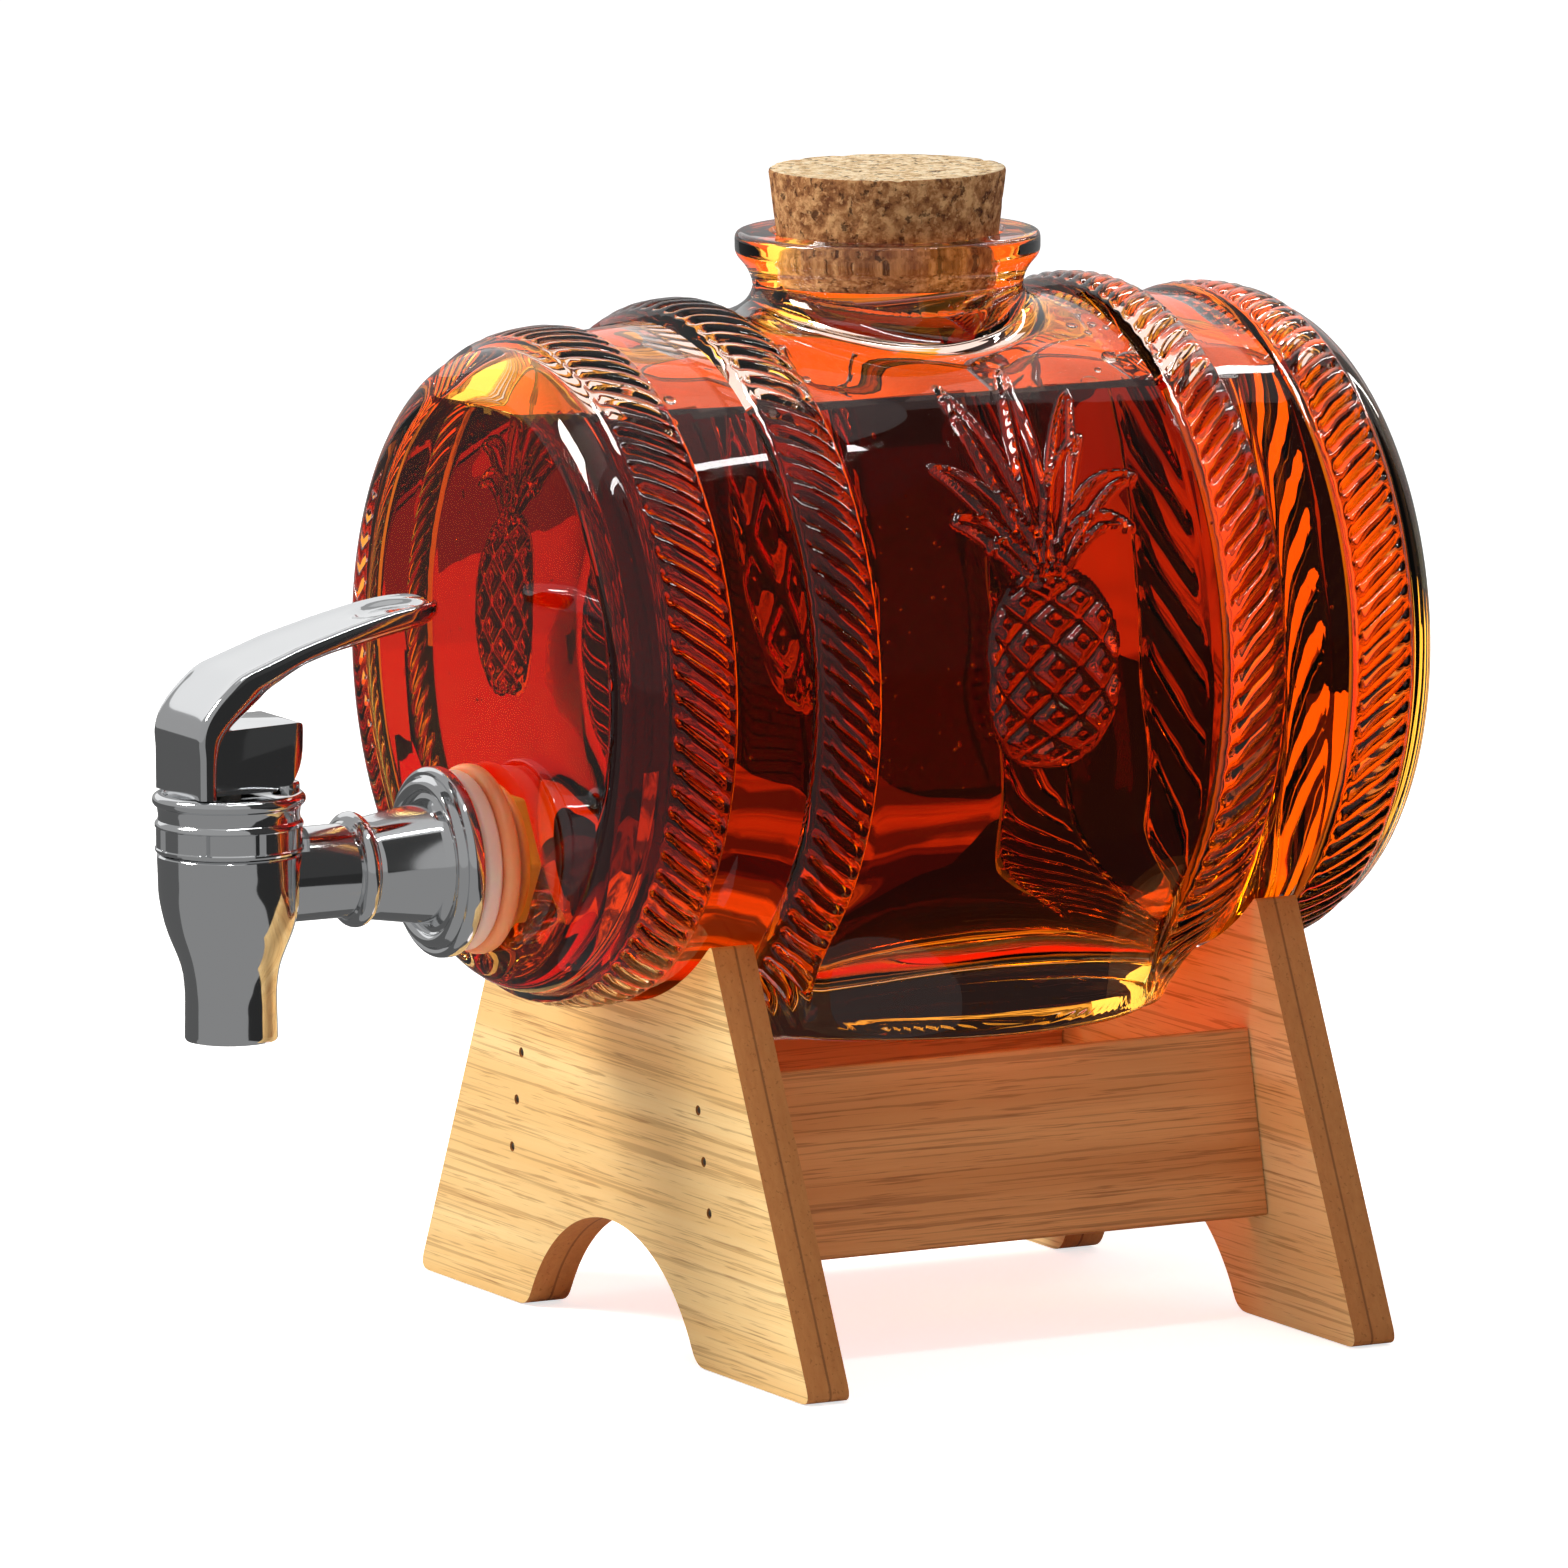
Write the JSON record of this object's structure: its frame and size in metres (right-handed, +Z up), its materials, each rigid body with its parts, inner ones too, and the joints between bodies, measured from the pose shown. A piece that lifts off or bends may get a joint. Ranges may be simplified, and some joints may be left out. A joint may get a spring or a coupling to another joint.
{
  "type": "drink dispenser",
  "caption": "Glass barrel drink dispenser with hooped sides, a corked filling neck and a chrome lever tap, lying on a bamboo stand with leaning rails.",
  "frame": {"origin": "on the surface that the stand rests on, under the middle of the outer box", "axes": "+Z up; +Y along the barrel's axis, away from the tap; +X to the side, square to the plane of symmetry"},
  "size_m": [0.1396, 0.2092, 0.1906],
  "materials": {
    "clear_glass": "clear, fire polished",
    "cork": "pressed cork granules",
    "bamboo": "sanded laminated bamboo",
    "nail_steel": "bright wire",
    "chrome_plating": "mirror bright",
    "silicone": "translucent, satin",
    "white_plastic": "moulded"
  },
  "bodies": {
    "stand": {"front_board": "bamboo", "rear_board": "bamboo", "right_rail": "bamboo", "left_rail": "bamboo", "nail_front_right_1": "nail_steel", "nail_front_right_2": "nail_steel", "nail_front_right_3": "nail_steel", "nail_front_left_1": "nail_steel", "nail_front_left_2": "nail_steel", "nail_front_left_3": "nail_steel", "nail_rear_right_1": "nail_steel", "nail_rear_right_2": "nail_steel", "nail_rear_right_3": "nail_steel", "nail_rear_left_1": "nail_steel", "nail_rear_left_2": "nail_steel", "nail_rear_left_3": "nail_steel"},
    "barrel": {"glass_barrel": "clear_glass", "tap_body": "chrome_plating", "head_washer": "silicone", "flange_washer": "silicone", "inner_washer": "silicone", "lock_nut": "white_plastic", "tap_bonnet": "chrome_plating", "bonnet_seal": "silicone", "return_spring": "nail_steel"},
    "cork": {"cork_stopper": "cork"},
    "valve": {"valve_stem": "white_plastic", "valve_plug": "silicone"},
    "lever": {"lever": "chrome_plating", "lever_pin": "nail_steel"}
  },
  "joints": [
    {"name": "barrel_lift_out", "type": "slide", "parent": "stand", "child": "barrel", "axis": [0, 0, 1], "range_m": [0, 0.03]},
    {"name": "cork_pull", "type": "slide", "parent": "barrel", "child": "cork", "axis": [0, 0, 1], "range_m": [0, 0.02]},
    {"name": "valve_lift", "type": "slide", "parent": "barrel", "child": "valve", "axis": [0, 0, 1], "range_m": [0, 0.0023], "deforming": ["return_spring"]},
    {"name": "lever_press", "type": "hinge", "parent": "valve", "child": "lever", "pos_m": [0, -0.0921, 0.103], "axis": [-1, 0, 0], "range_deg": [0, 16], "stiffness_Nm_per_rad": 0.1, "springref_deg": -11.46}
  ],
  "couplings": [
    {"joint": "valve_lift", "follows": "lever_press", "m_per_rad": 0.0082}
  ]
}
